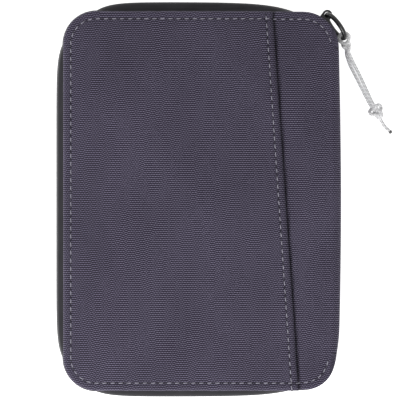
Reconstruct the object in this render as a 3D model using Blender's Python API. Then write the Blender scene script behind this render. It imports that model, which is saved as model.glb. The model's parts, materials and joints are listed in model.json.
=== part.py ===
"""Zip-around passport wallet, lying closed on its back cover.

+Z is the wallet's thickness, +X points to the spine and +Y to the edge where the slider parks.
The origin is on the face the wallet rests on, at the middle of the cover's outline.
All sizes are in metres.
"""

import math

import bmesh
import bpy
from mathutils import Matrix, Vector

MM = 0.001
GAP = 0.3 * MM                      # clearance between pieces that touch

# Cover outline, to the fabric edge
COVER_WIDTH = 106.1 * MM
COVER_LENGTH = 145.9 * MM
THICKNESS = 20.0 * MM
FORE_EDGE_CORNER = 12.7 * MM        # radius of the two corners away from the spine
SPINE_CORNER = 14.0 * MM            # radius of the two corners beside the spine
HINGE_CLEARANCE = 4.1 * MM          # covers stop this far short of the spine's outer face
SEAM_ALLOWANCE = 5.5 * MM           # stiff layers stop inside the seam

# Layers of one cover, outer face inwards
PANEL = 1.2 * MM
TAPE = 0.5 * MM
FOAM = 1.5 * MM
FILM = 0.2 * MM
LINING = 0.6 * MM
POCKET = 0.6 * MM
SLIP_POCKET = 0.9 * MM

# Slip pocket on the front: its mouth slants a little towards the spine
MOUTH_TOP_X = 27.5 * MM
MOUTH_BOTTOM_X = 37.5 * MM

# Spine wall
SPINE_OUTER_X = 53.9 * MM
SPINE_LENGTH = 113.0 * MM
SPINE_FACE_MARGIN = 0.3 * MM        # spine fabric stops this short of the two outer faces
SPINE_BOARD_MARGIN = 3.5 * MM       # its stiffener and lining stop shorter, inside the fold
SPINE_LINING_MARGIN = 3.0 * MM
SPINE_BOARD_END = 3.0 * MM          # and they end this far inside the fabric at each end
SPINE_LINING_END = 2.0 * MM
LINING_INSET = 2.4 * MM             # linings stop this far inside the cover outline
FRONT_PANEL = PANEL - 0.1 * MM      # the front fabric, which the slip pocket covers
FOLD_DEPTH = 1.0 * MM               # fold lines lie this deep inside the outer faces
SPINE_STIFFENER = 1.2 * MM

# Zip: two tapes that bow outwards between the corners, each with a coil at mid height
MID_HEIGHT = THICKNESS / 2
BOW_TOP = 3.6 * MM
BOW_FORE_EDGE = 2.9 * MM
BOW_BOTTOM = 2.7 * MM
BOW_AT_FORE_CORNER = 0.2 * MM
BOW_AT_SPINE_CORNER = -1.5 * MM     # the zip is drawn in where it turns to the spine
BOW_RISE = 9.0 * MM                 # distance over which the bow builds up
COIL_WIDTH = 1.4 * MM
COIL_HEIGHT = 1.2 * MM
COIL_GAP = 1.6 * MM                 # room between the coils for the slider's post
ZIP_END_ANGLE = math.radians(30.0)  # coils stop here on the spine corners
TAPE_END_ANGLE = math.radians(26.0)
STOP_LENGTH = 1.4 * MM

# Slider, parked on the corner beside the spine
SLIDER_ANGLE = math.radians(53.3)
SLIDER_BEHIND = math.radians(8.2)
SLIDER_AHEAD = math.radians(15.0)
SLIDER_HEIGHT = 3.8 * MM
SLIDER_PLATE = 0.7 * MM
OUTER_PLATE_RADIUS = SPINE_CORNER - 0.85 * MM
INNER_PLATE_RADIUS = SPINE_CORNER - 4.3 * MM
POST_HEIGHT = 1.0 * MM
POST_HALF_ANGLE = math.radians(4.0)
BRIDGE_HEIGHT = 1.6 * MM
BRIDGE_WALL = 0.6 * MM
BRIDGE_HOLE_BEHIND = 1.6 * MM       # from the pivot towards the spine
BRIDGE_HOLE_AHEAD = 1.3 * MM
BRIDGE_HOLE_ABOVE = 1.2 * MM

# Ring puller, an oval of round wire that hangs on the slider's bridge
RING_PIVOT = SPINE_CORNER + 2.1 * MM
RING_DIRECTION = math.radians(-54.0)
RING_TILT = math.radians(15.0)      # the ring's plane leans out from vertical
RING_HALF_LENGTH = 5.55 * MM
RING_HALF_WIDTH = 3.2 * MM
RING_WIRE = 0.85 * MM
RING_STEPS = 36

# Pull cord: one cord doubled through the ring, knotted twice, with a single tail
CORD_RADIUS = 0.7 * MM
CORD_STEP = 3.0 * MM
LOOP_STEP = 1.0 * MM
LOOP_SLACK = 0.6 * MM               # room between the ring's wire and the cord's loop
UPPER_LEG_ROUTE = [(56.9, 57.4, 8.7), (57.7, 55.6, 7.6), (59.0, 52.9, 5.6), (61.1, 48.9, 3.6),
                   (63.6, 43.6, 2.6), (65.3, 39.8, 2.5), (66.4, 37.6, 2.7)]
LOWER_LEG_ROUTE = [(56.3, 57.1, 7.2), (56.9, 55.2, 6.0), (57.9, 52.4, 4.0), (59.8, 48.4, 2.1),
                   (62.3, 43.1, 1.0), (64.2, 39.3, 0.9), (65.4, 37.1, 1.2)]
TAIL_ROUTE = [(69.35, 31.6, 1.6), (69.9, 30.4, 1.2), (70.9, 28.9, 0.9), (72.0, 27.7, 0.8)]
TIP_ROUTE = [(72.35, 27.4, 0.8), (73.1, 26.8, 0.8), (73.8, 26.3, 0.8)]
UPPER_KNOT = (56.15, 59.8, 9.0)
UPPER_KNOT_RADII = (1.4, 1.9, 1.6)
LOWER_KNOT = (67.8, 34.6, 2.5)
LOWER_KNOT_RADII = (2.9, 2.9, 2.3)

# Inside pockets: each card pocket is (name, upper edge), the lowest one on top
CARD_POCKETS = [("card_pocket_upper", 8.0 * MM), ("card_pocket_middle", -7.0 * MM),
                ("card_pocket_lower", -22.0 * MM)]
CARD_POCKET_LEFT = -46.0 * MM
CARD_POCKET_RIGHT = 44.0 * MM
CARD_POCKET_BOTTOM = -66.0 * MM
DOCUMENT_POCKET_MOUTH = 30.0 * MM
PASSPORT_POCKET_MOUTH = 16.0 * MM
POCKET_INSET = 4.5 * MM

ARC_STEPS = 8
RUN_STEP = 7.0 * MM
COLLECTION_NAME = "passport_wallet"

HALF_WIDTH = COVER_WIDTH / 2
HALF_LENGTH = COVER_LENGTH / 2
COVER_RIGHT = SPINE_OUTER_X - HINGE_CLEARANCE
SPINE_CORNER_X = HALF_WIDTH - SPINE_CORNER
SPINE_CORNER_Y = HALF_LENGTH - SPINE_CORNER
FORE_CORNER_X = FORE_EDGE_CORNER - HALF_WIDTH
FORE_CORNER_Y = HALF_LENGTH - FORE_EDGE_CORNER


# ---------------------------------------------------------------- scene and materials

def clear_scene():
    for obj in list(bpy.data.objects):
        bpy.data.objects.remove(obj, do_unlink=True)


def make_material(name, color, roughness, metallic=0.0):
    material = bpy.data.materials.new(name)
    material.use_nodes = True
    shader = material.node_tree.nodes["Principled BSDF"]
    shader.inputs["Base Color"].default_value = (*color, 1.0)
    shader.inputs["Roughness"].default_value = roughness
    shader.inputs["Metallic"].default_value = metallic
    return material


def make_materials():
    return {
        "cover": make_material("cover_fabric", (0.070, 0.062, 0.090), 0.85),
        "tape": make_material("zip_tape", (0.032, 0.031, 0.036), 0.80),
        "coil": make_material("zip_coil", (0.020, 0.020, 0.022), 0.45),
        "lining": make_material("lining", (0.150, 0.150, 0.165), 0.75),
        "foam": make_material("foam", (0.300, 0.300, 0.310), 0.95),
        "film": make_material("shielding_film", (0.700, 0.700, 0.720), 0.35, 1.0),
        "board": make_material("spine_board", (0.120, 0.120, 0.120), 0.70),
        "metal": make_material("black_metal", (0.015, 0.015, 0.016), 0.35, 1.0),
        "cord": make_material("cord", (0.600, 0.600, 0.610), 0.80),
    }


def place(obj, collection, parent, material):
    """Put a finished piece in the wallet's collection, under its body's empty."""
    for owner in list(obj.users_collection):
        owner.objects.unlink(obj)
    collection.objects.link(obj)
    obj.data.materials.clear()
    obj.data.materials.append(material)
    world = obj.matrix_world.copy()
    obj.parent = parent
    obj.matrix_parent_inverse = parent.matrix_basis.inverted()
    obj.matrix_basis = world
    return obj


def make_pivot(name, location, collection, parent=None):
    """An empty on a joint's axis, which carries one moving body."""
    pivot = bpy.data.objects.new(name, None)
    pivot.empty_display_size = 0.01
    collection.objects.link(pivot)
    pivot.matrix_basis = Matrix.Translation(location)
    if parent is not None:
        pivot.parent = parent
        pivot.matrix_parent_inverse = parent.matrix_world.inverted()
    bpy.context.view_layer.update()
    return pivot


# ---------------------------------------------------------------- solids

def mesh_from_curve(curve_object, name):
    """The welded mesh of a curve object, which is then removed."""
    bpy.context.scene.collection.objects.link(curve_object)
    depsgraph = bpy.context.evaluated_depsgraph_get()
    mesh = bpy.data.meshes.new_from_object(curve_object.evaluated_get(depsgraph))
    mesh.name = name
    cleaner = bmesh.new()
    cleaner.from_mesh(mesh)
    bmesh.ops.remove_doubles(cleaner, verts=cleaner.verts, dist=1e-6)
    bmesh.ops.recalc_face_normals(cleaner, faces=cleaner.faces)
    cleaner.to_mesh(mesh)
    cleaner.free()
    world = curve_object.matrix_world.copy()
    bpy.data.objects.remove(curve_object, do_unlink=True)
    solid = bpy.data.objects.new(name, mesh)
    solid.matrix_world = world
    bpy.context.scene.collection.objects.link(solid)
    return solid


def plate(name, outline, bottom, top):
    """A flat solid with the given outline between two heights."""
    curve = bpy.data.curves.new(name, "CURVE")
    curve.dimensions = "2D"
    curve.fill_mode = "BOTH"
    curve.extrude = (top - bottom) / 2
    spline = curve.splines.new("POLY")
    spline.points.add(len(outline) - 1)
    for point, (x, y) in zip(spline.points, outline):
        point.co = (x, y, 0.0, 1.0)
    spline.use_cyclic_u = True
    curve_object = bpy.data.objects.new(name, curve)
    curve_object.matrix_world = Matrix.Translation((0.0, 0.0, (top + bottom) / 2))
    return mesh_from_curve(curve_object, name)


def tube(name, points, radius, bevel_resolution=2, cyclic=False):
    """Round wire or cord along the points, with filled ends."""
    curve = bpy.data.curves.new(name, "CURVE")
    curve.dimensions = "3D"
    curve.bevel_depth = radius
    curve.bevel_resolution = bevel_resolution
    curve.use_fill_caps = not cyclic
    spline = curve.splines.new("POLY")
    spline.points.add(len(points) - 1)
    for point, place_at in zip(spline.points, points):
        point.co = (*place_at, 1.0)
    spline.use_cyclic_u = cyclic
    solid = mesh_from_curve(bpy.data.objects.new(name, curve), name)
    solid.data.shade_smooth()
    return solid


def loft(name, sections):
    """A closed solid through sections that have the same number of points."""
    mesh = bpy.data.meshes.new(name)
    builder = bmesh.new()
    rings = [[builder.verts.new(point) for point in section] for section in sections]
    count = len(rings[0])
    for ring, following in zip(rings, rings[1:]):
        for i in range(count):
            j = (i + 1) % count
            builder.faces.new((ring[i], ring[j], following[j], following[i]))
    builder.faces.new(list(reversed(rings[0])))
    builder.faces.new(rings[-1])
    bmesh.ops.triangulate(builder, faces=builder.faces)
    bmesh.ops.recalc_face_normals(builder, faces=builder.faces)
    builder.to_mesh(mesh)
    builder.free()
    solid = bpy.data.objects.new(name, mesh)
    bpy.context.scene.collection.objects.link(solid)
    return solid


def ellipsoid(name, centre, radii):
    """A knot's outer shape, centre and radii in millimetres."""
    mesh = bpy.data.meshes.new(name)
    builder = bmesh.new()
    shape = Matrix.Translation(Vector(centre) * MM) @ Matrix.Diagonal((*(r * MM for r in radii), 1.0))
    bmesh.ops.create_uvsphere(builder, u_segments=14, v_segments=9, radius=1.0, matrix=shape)
    builder.to_mesh(mesh)
    builder.free()
    mesh.shade_smooth()
    solid = bpy.data.objects.new(name, mesh)
    bpy.context.scene.collection.objects.link(solid)
    return solid


def join_solids(body, others):
    """Boolean union of the others into the body, so that it is one solid."""
    for other in others:
        modifier = body.modifiers.new("union", "BOOLEAN")
        modifier.operation = "UNION"
        modifier.object = other
        bpy.context.view_layer.update()
        depsgraph = bpy.context.evaluated_depsgraph_get()
        merged = bpy.data.meshes.new_from_object(body.evaluated_get(depsgraph))
        body.modifiers.clear()
        body.data = merged
        bpy.data.objects.remove(other, do_unlink=True)
    return body


# ---------------------------------------------------------------- outlines and the zip's path

def arc(centre_x, centre_y, radius, start, end, steps=ARC_STEPS):
    angles = [start + (end - start) * i / steps for i in range(steps + 1)]
    return [(centre_x + radius * math.cos(a), centre_y + radius * math.sin(a)) for a in angles]


def cover_outline(inset, right=COVER_RIGHT):
    """The cover's rounded outline, drawn in by inset and cut off straight at the spine side."""
    spine_radius = SPINE_CORNER - inset
    fore_radius = FORE_EDGE_CORNER - inset
    cut = math.acos(min(1.0, (right - SPINE_CORNER_X) / spine_radius))
    quarter = math.pi / 2
    return (arc(SPINE_CORNER_X, SPINE_CORNER_Y, spine_radius, cut, quarter)
            + arc(FORE_CORNER_X, FORE_CORNER_Y, fore_radius, quarter, 2 * quarter)
            + arc(FORE_CORNER_X, -FORE_CORNER_Y, fore_radius, 2 * quarter, 3 * quarter)
            + arc(SPINE_CORNER_X, -SPINE_CORNER_Y, spine_radius, 3 * quarter, 4 * quarter - cut))


def pocket_outline(inset, mouth_top, mouth_bottom):
    """The fore-edge part of the cover's outline, cut off along the pocket's mouth."""
    fore_radius = FORE_EDGE_CORNER - inset
    edge = HALF_LENGTH - inset
    quarter = math.pi / 2
    return ([(mouth_bottom, -edge), (mouth_top, edge)]
            + arc(FORE_CORNER_X, FORE_CORNER_Y, fore_radius, quarter, 2 * quarter)
            + arc(FORE_CORNER_X, -FORE_CORNER_Y, fore_radius, 2 * quarter, 3 * quarter))


def rectangle(left, right, bottom, top):
    return [(left, bottom), (right, bottom), (right, top), (left, top)]


def build_up(distance):
    """How much of its bow the zip has reached at a distance from the corner, from 0 to 1."""
    return 1.0 - math.exp(-max(distance, 0.0) / BOW_RISE)


def bow_along(distance, length, start_bow, end_bow, middle_bow):
    """Bow at a distance along one side of the wallet."""
    rise = build_up(distance) * build_up(length - distance)
    share = distance / length
    corner_bow = start_bow * (1.0 - share) + end_bow * share
    return corner_bow + (middle_bow - corner_bow) * rise


def corner_stations(centre_x, centre_y, radius, start, end, bows, steps=ARC_STEPS):
    """Points round one corner: place, outward direction and bow."""
    stations = []
    for i in range(steps + 1):
        share = i / steps
        angle = start + (end - start) * share
        outward = (math.cos(angle), math.sin(angle))
        spot = (centre_x + radius * outward[0], centre_y + radius * outward[1])
        stations.append((spot, outward, bows[0] + (bows[1] - bows[0]) * share))
    return stations


def run_stations(start, end, outward, bows, middle_bow):
    """Points along one straight side, without its two ends."""
    length = math.dist(start, end)
    steps = max(2, round(length / RUN_STEP))
    stations = []
    for i in range(1, steps):
        share = i / steps
        spot = tuple(a + (b - a) * share for a, b in zip(start, end))
        stations.append((spot, outward, bow_along(share * length, length, *bows, middle_bow)))
    return stations


def zip_stations(end_angle):
    """The zip's way round three sides, from the slider's corner to the other end of the spine."""
    spine_bow = BOW_AT_SPINE_CORNER
    fore_bow = BOW_AT_FORE_CORNER
    quarter = math.pi / 2
    return (corner_stations(SPINE_CORNER_X, SPINE_CORNER_Y, SPINE_CORNER, end_angle, quarter,
                            (spine_bow, spine_bow))
            + run_stations((SPINE_CORNER_X, HALF_LENGTH), (FORE_CORNER_X, HALF_LENGTH), (0, 1),
                           (spine_bow, fore_bow), BOW_TOP)
            + corner_stations(FORE_CORNER_X, FORE_CORNER_Y, FORE_EDGE_CORNER, quarter, 2 * quarter,
                              (fore_bow, fore_bow))
            + run_stations((-HALF_WIDTH, FORE_CORNER_Y), (-HALF_WIDTH, -FORE_CORNER_Y), (-1, 0),
                           (fore_bow, fore_bow), BOW_FORE_EDGE)
            + corner_stations(FORE_CORNER_X, -FORE_CORNER_Y, FORE_EDGE_CORNER, 2 * quarter,
                              3 * quarter, (fore_bow, fore_bow))
            + run_stations((FORE_CORNER_X, -HALF_LENGTH), (SPINE_CORNER_X, -HALF_LENGTH), (0, -1),
                           (fore_bow, spine_bow), BOW_BOTTOM)
            + corner_stations(SPINE_CORNER_X, -SPINE_CORNER_Y, SPINE_CORNER, 3 * quarter,
                              4 * quarter - end_angle, (spine_bow, spine_bow)))


def sweep(name, stations, section_at):
    """Loft a section, given as (outward, height) pairs for a bow, along the stations."""
    sections = []
    for (x, y), (out_x, out_y), bow in stations:
        sections.append([(x + out_x * n, y + out_y * n, z) for n, z in section_at(bow)])
    return loft(name, sections)


def tape_section(bow, seam_height, coil_height):
    """A zip tape's section: a flat seam flange, then a wall that bows out to the coil."""
    turn = math.copysign(TAPE, coil_height - seam_height)
    wall = [i / 4 for i in range(5)]
    outer = [(bow * math.sin(t * math.pi / 2), seam_height + (coil_height - seam_height) * t)
             for t in wall]
    inner = [(n - TAPE, z) for n, z in outer[1:]]
    fold = (-TAPE, seam_height + turn)
    return ([(-SEAM_ALLOWANCE + GAP, seam_height)] + outer + list(reversed(inner))
            + [fold, (-SEAM_ALLOWANCE + GAP, seam_height + turn)])


def coil_section(bow, bottom, top):
    return [(bow - COIL_WIDTH, bottom), (bow, bottom), (bow, top), (bow - COIL_WIDTH, top)]


# ---------------------------------------------------------------- the covers and the spine

def stack_heights(layers, outer_face, inwards):
    """Name to (bottom, top) for layers laid one on another from an outer face inwards."""
    heights = {}
    face = outer_face
    for name, thickness in layers:
        far = face + inwards * thickness
        heights[name] = (min(face, far), max(face, far))
        face = far + inwards * GAP
    return heights


def build_zip_half(side, seam_height, coil_near, coil_far, add):
    """One tape with its coil and its two stops, on the back (coil above) or front (coil below)."""
    inwards = math.copysign(1.0, coil_near - seam_height)
    edge = coil_near - inwards * GAP
    add(sweep(side + "_zip_tape", zip_stations(TAPE_END_ANGLE),
              lambda bow: tape_section(bow, seam_height, edge)), "tape")
    bottom, top = sorted((coil_near, coil_far))
    add(sweep(side + "_zip_coil", zip_stations(ZIP_END_ANGLE),
              lambda bow: coil_section(bow, bottom, top)), "coil")
    gap_angle = GAP / SPINE_CORNER
    stop_angle = STOP_LENGTH / SPINE_CORNER
    for sign, place_name in ((1, "top"), (-1, "bottom")):
        stations = corner_stations(SPINE_CORNER_X, sign * SPINE_CORNER_Y, SPINE_CORNER,
                                   sign * (ZIP_END_ANGLE - gap_angle - stop_angle),
                                   sign * (ZIP_END_ANGLE - gap_angle),
                                   (BOW_AT_SPINE_CORNER, BOW_AT_SPINE_CORNER), 1)
        add(sweep(side + "_" + place_name + "_stop", stations,
                  lambda bow: coil_section(bow, bottom, top)), "metal")


def build_back_cover(add):
    layers = stack_heights([("panel", PANEL), ("foam", FOAM), ("film", FILM), ("lining", LINING),
                            ("pocket", POCKET)], 0.0, 1)
    add(plate("back_panel", cover_outline(0.0), *layers["panel"]), "cover")
    add(plate("back_foam", cover_outline(SEAM_ALLOWANCE), *layers["foam"]), "foam")
    add(plate("back_shielding_film", cover_outline(SEAM_ALLOWANCE), *layers["film"]), "film")
    add(plate("back_lining", cover_outline(LINING_INSET), *layers["lining"]), "lining")
    add(plate("passport_pocket",
              pocket_outline(POCKET_INSET, PASSPORT_POCKET_MOUTH, PASSPORT_POCKET_MOUTH),
              *layers["pocket"]), "lining")
    coil_far = MID_HEIGHT - COIL_GAP / 2
    build_zip_half("back", PANEL + GAP, coil_far - COIL_HEIGHT, coil_far, add)


def build_front_cover(add):
    pocket_bottom = THICKNESS - SLIP_POCKET
    panel_top = pocket_bottom - GAP
    layers = stack_heights([("panel", FRONT_PANEL), ("foam", FOAM), ("film", FILM),
                            ("lining", LINING), ("document", POCKET), ("card_0", POCKET),
                            ("card_1", POCKET), ("card_2", POCKET)], panel_top, -1)
    add(plate("front_slip_pocket", pocket_outline(0.0, MOUTH_TOP_X, MOUTH_BOTTOM_X),
              pocket_bottom, THICKNESS), "cover")
    add(plate("front_panel", cover_outline(0.0), *layers["panel"]), "cover")
    add(plate("front_foam", cover_outline(SEAM_ALLOWANCE), *layers["foam"]), "foam")
    add(plate("front_shielding_film", cover_outline(SEAM_ALLOWANCE), *layers["film"]), "film")
    add(plate("front_lining", cover_outline(LINING_INSET), *layers["lining"]), "lining")
    add(plate("document_pocket",
              pocket_outline(POCKET_INSET, DOCUMENT_POCKET_MOUTH, DOCUMENT_POCKET_MOUTH),
              *layers["document"]), "lining")
    for i, (name, upper_edge) in enumerate(CARD_POCKETS):
        outline = rectangle(CARD_POCKET_LEFT, CARD_POCKET_RIGHT, CARD_POCKET_BOTTOM, upper_edge)
        add(plate(name, outline, *layers["card_%d" % i]), "lining")
    coil_far = MID_HEIGHT + COIL_GAP / 2
    build_zip_half("front", layers["panel"][0] - GAP, coil_far + COIL_HEIGHT, coil_far, add)


def build_spine(add):
    panel_inner = SPINE_OUTER_X - PANEL
    board_outer = panel_inner - GAP
    board_inner = board_outer - SPINE_STIFFENER
    lining_outer = board_inner - GAP
    walls = [("spine_panel", panel_inner, SPINE_OUTER_X, SPINE_LENGTH, SPINE_FACE_MARGIN, "cover"),
             ("spine_stiffener", board_inner, board_outer, SPINE_LENGTH - 2 * SPINE_BOARD_END,
              SPINE_BOARD_MARGIN, "board"),
             ("spine_lining", lining_outer - LINING, lining_outer, SPINE_LENGTH - 2 * SPINE_LINING_END,
              SPINE_LINING_MARGIN, "lining")]
    for name, inner, outer, length, margin, material in walls:
        outline = rectangle(inner, outer, -length / 2, length / 2)
        add(plate(name, outline, margin, THICKNESS - margin), material)


# ---------------------------------------------------------------- slider, ring and cord

def corner_point(radius, angle):
    return (SPINE_CORNER_X + radius * math.cos(angle), SPINE_CORNER_Y + radius * math.sin(angle))


def corner_band(name, inner_radius, outer_radius, start, end, bottom, top):
    """A plate that is curved round the slider's corner."""
    outline = (arc(SPINE_CORNER_X, SPINE_CORNER_Y, outer_radius, start, end)
               + arc(SPINE_CORNER_X, SPINE_CORNER_Y, inner_radius, end, start))
    return plate(name, outline, bottom, top)


def bridge_outline(hole_radius, hole_behind, hole_ahead, foot_radius):
    """An arch with rounded shoulders over the pivot, between two angles of the corner."""
    behind = SLIDER_ANGLE - hole_behind / RING_PIVOT
    ahead = SLIDER_ANGLE + hole_ahead / RING_PIVOT
    shoulder = 0.7 * MM
    turn = shoulder / RING_PIVOT
    return [corner_point(foot_radius, behind),
            corner_point(hole_radius - shoulder, behind),
            corner_point(hole_radius - 0.3 * shoulder, behind + 0.3 * turn),
            corner_point(hole_radius, behind + turn),
            corner_point(hole_radius, ahead - turn),
            corner_point(hole_radius - 0.3 * shoulder, ahead - 0.3 * turn),
            corner_point(hole_radius - shoulder, ahead),
            corner_point(foot_radius, ahead)]


def build_slider(add):
    start = SLIDER_ANGLE - SLIDER_BEHIND
    end = SLIDER_ANGLE + SLIDER_AHEAD
    bottom = MID_HEIGHT - SLIDER_HEIGHT / 2
    top = MID_HEIGHT + SLIDER_HEIGHT / 2
    overlap = 0.2 * MM
    body = corner_band("slider_body", OUTER_PLATE_RADIUS, OUTER_PLATE_RADIUS + SLIDER_PLATE,
                       start, end, bottom, top)
    inner_plate = corner_band("inner_plate", INNER_PLATE_RADIUS, INNER_PLATE_RADIUS + SLIDER_PLATE,
                              start, end, bottom, top)
    post = corner_band("post", INNER_PLATE_RADIUS + overlap, OUTER_PLATE_RADIUS + overlap,
                       SLIDER_ANGLE - POST_HALF_ANGLE, SLIDER_ANGLE + POST_HALF_ANGLE,
                       MID_HEIGHT - POST_HEIGHT / 2, MID_HEIGHT + POST_HEIGHT / 2)
    hole_top = RING_PIVOT + BRIDGE_HOLE_ABOVE
    foot = OUTER_PLATE_RADIUS + SLIDER_PLATE - overlap
    outer_side = bridge_outline(hole_top + BRIDGE_WALL, BRIDGE_HOLE_BEHIND + BRIDGE_WALL,
                                BRIDGE_HOLE_AHEAD + BRIDGE_WALL, foot)
    inner_side = bridge_outline(hole_top, BRIDGE_HOLE_BEHIND, BRIDGE_HOLE_AHEAD, foot)
    bridge = plate("bridge", outer_side + list(reversed(inner_side)),
                   MID_HEIGHT - BRIDGE_HEIGHT / 2, MID_HEIGHT + BRIDGE_HEIGHT / 2)
    add(join_solids(body, [inner_plate, post, bridge]), "metal")


def ring_frame():
    """The ring's centre, its long and short directions, and its normal."""
    along = Vector((math.cos(RING_DIRECTION), math.sin(RING_DIRECTION), 0.0))
    outward = Vector((-along.y, along.x, 0.0))
    across = math.cos(RING_TILT) * Vector((0.0, 0.0, 1.0)) + math.sin(RING_TILT) * outward
    pivot = Vector((*corner_point(RING_PIVOT, SLIDER_ANGLE), MID_HEIGHT))
    return pivot + RING_HALF_LENGTH * along, along, across, across.cross(along)


def build_ring(add):
    centre, along, across, _ = ring_frame()
    turns = [2 * math.pi * i / RING_STEPS for i in range(RING_STEPS)]
    points = [centre + RING_HALF_LENGTH * math.cos(t) * along + RING_HALF_WIDTH * math.sin(t) * across
              for t in turns]
    add(tube("pull_ring", points, RING_WIRE, 3, cyclic=True), "metal")


def smooth_route(points, step):
    """Evenly spaced points along a Catmull-Rom curve through the given points."""
    guides = [Vector(p) for p in points]
    guides = [2 * guides[0] - guides[1]] + guides + [2 * guides[-1] - guides[-2]]
    fine = []
    for before, start, end, after in zip(guides, guides[1:], guides[2:], guides[3:]):
        for i in range(12):
            t = i / 12
            fine.append(0.5 * (2 * start + (end - before) * t
                               + (2 * before - 5 * start + 4 * end - after) * t * t
                               + (3 * start - before - 3 * end + after) * t ** 3))
    fine.append(guides[-2])
    spans = [(b - a).length for a, b in zip(fine, fine[1:])]
    count = max(2, round(sum(spans) / step))
    spaced = [fine[0]]
    target = sum(spans) / count
    walked = 0.0
    for point, span in zip(fine[1:], spans):
        walked += span
        if walked >= target * len(spaced) - 1e-9 and len(spaced) < count:
            spaced.append(point)
    return spaced + [fine[-1]]


def ring_loop_route():
    """The cord's loop from the upper knot, round the ring's far end and back to the knot."""
    centre, along, _, normal = ring_frame()
    reach = RING_WIRE + CORD_RADIUS + LOOP_SLACK
    far_end = centre + RING_HALF_LENGTH * along
    back_of_loop = far_end - reach * along
    knot_side = far_end + 0.4 * reach * along
    return [knot_side + 0.9 * reach * normal,
            far_end + reach * normal,
            far_end - 0.6 * reach * along + 0.82 * reach * normal,
            back_of_loop,
            far_end - 0.6 * reach * along - 0.82 * reach * normal,
            far_end - reach * normal,
            knot_side - 0.9 * reach * normal]


def build_cord(add):
    add(tube("cord_ring_loop", smooth_route(ring_loop_route(), LOOP_STEP), CORD_RADIUS), "cord")
    add(ellipsoid("cord_upper_knot", UPPER_KNOT, UPPER_KNOT_RADII), "cord")
    routes = [("cord_upper_leg", UPPER_LEG_ROUTE), ("cord_lower_leg", LOWER_LEG_ROUTE),
              ("cord_tail", TAIL_ROUTE), ("cord_sealed_tip", TIP_ROUTE)]
    for name, route in routes:
        points = [Vector(point) * MM for point in route]
        add(tube(name, smooth_route(points, CORD_STEP), CORD_RADIUS), "cord")
    add(ellipsoid("cord_lower_knot", LOWER_KNOT, LOWER_KNOT_RADII), "cord")


# ---------------------------------------------------------------- assembly

def main():
    clear_scene()
    collection = bpy.data.collections.new(COLLECTION_NAME)
    bpy.context.scene.collection.children.link(collection)
    materials = make_materials()

    fold_x = SPINE_OUTER_X - FOLD_DEPTH
    pivot_point = (*corner_point(RING_PIVOT, SLIDER_ANGLE), MID_HEIGHT)
    centre, along, _, _ = ring_frame()
    back = make_pivot("back_cover_origin", (0.0, 0.0, 0.0), collection)
    spine = make_pivot("spine_fold", (fold_x, 0.0, FOLD_DEPTH), collection, back)
    front = make_pivot("cover_fold", (fold_x, 0.0, THICKNESS - FOLD_DEPTH), collection, spine)
    slider = make_pivot("slider_corner", (SPINE_CORNER_X, SPINE_CORNER_Y, MID_HEIGHT), collection, back)
    puller = make_pivot("ring_pivot", pivot_point, collection, slider)
    cord = make_pivot("cord_eye", centre + RING_HALF_LENGTH * along, collection, puller)

    builders = [(build_back_cover, back), (build_spine, spine), (build_front_cover, front),
                (build_slider, slider), (build_ring, puller), (build_cord, cord)]
    for build, body in builders:
        build(lambda solid, material, owner=body: place(solid, collection, owner, materials[material]))


main()
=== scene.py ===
"""Looks for the zip-around passport wallet: fabric covers, zip, slider, ring, braided cord and pockets."""

import json
import math

import bmesh
import bpy
import numpy as np
from mathutils import Matrix, Vector, noise


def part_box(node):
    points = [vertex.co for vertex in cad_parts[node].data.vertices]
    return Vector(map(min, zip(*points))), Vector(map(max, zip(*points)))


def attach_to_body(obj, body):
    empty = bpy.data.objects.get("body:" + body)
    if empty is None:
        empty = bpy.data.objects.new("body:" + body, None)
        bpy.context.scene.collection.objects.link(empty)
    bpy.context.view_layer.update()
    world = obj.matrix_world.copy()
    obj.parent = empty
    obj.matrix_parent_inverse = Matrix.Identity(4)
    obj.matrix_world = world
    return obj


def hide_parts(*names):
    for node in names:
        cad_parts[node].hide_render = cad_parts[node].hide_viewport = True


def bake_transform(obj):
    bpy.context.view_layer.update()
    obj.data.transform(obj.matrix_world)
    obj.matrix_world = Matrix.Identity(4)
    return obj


MM = 0.001

# Cover outline (the frame gives its width and length)
FORE_CORNER = 12.7 * MM
SPINE_CORNER = 14.0 * MM
SPINE_BULGE = 0.8 * MM              # the spine's fabric bows out at mid length
SPINE_ROLL = 3.2 * MM               # radius of the roll from cover to spine
SPINE_END_FOLD = 0.8 * MM           # the spine's cloth turns in over this length at its two ends
FABRIC = 0.55 * MM                  # cloth thickness
SEAM_INSET = 2.95 * MM              # stitches run this far inside the fabric edge
EDGE_ROLL = 1.2 * MM                # how far the edge rolls in towards the zip
SEAM_DIP = 0.30 * MM
CROWN = 0.75 * MM
CROWN_REACH = 26.0 * MM
SPINE_FALL = 0.45 * MM              # the front falls this much towards the spine

TUCK = 1.0 * MM
TUCK_PLACE = 62.0 * MM
TUCK_LENGTH = 7.0 * MM

# Slip pocket
MOUTH_TOP_X = 27.5 * MM
MOUTH_BOTTOM_X = 37.5 * MM
POCKET_EDGE_RISE = 0.40 * MM        # the pocket's cloth stands this far off the front at its edge
POCKET_RISE = 0.75 * MM             # and this far in its middle
MOUTH_PUFF = 0.25 * MM
HEM_DIP = 0.24 * MM
MOUTH_GROOVE = 0.25 * MM            # the front's cloth is pressed in under the mouth
HEM_INSET = 2.7 * MM
POCKET_SPREAD = 1.0025              # the pocket is cut this much larger, so its edge covers the front's

# Inside cloths stop this far inside the cover outline
LINING_INSET = 2.4 * MM
POCKET_INSET = 4.5 * MM
LINING_CLOTH = 0.4 * MM
BINDING_RADIUS = 0.42 * MM

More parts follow.
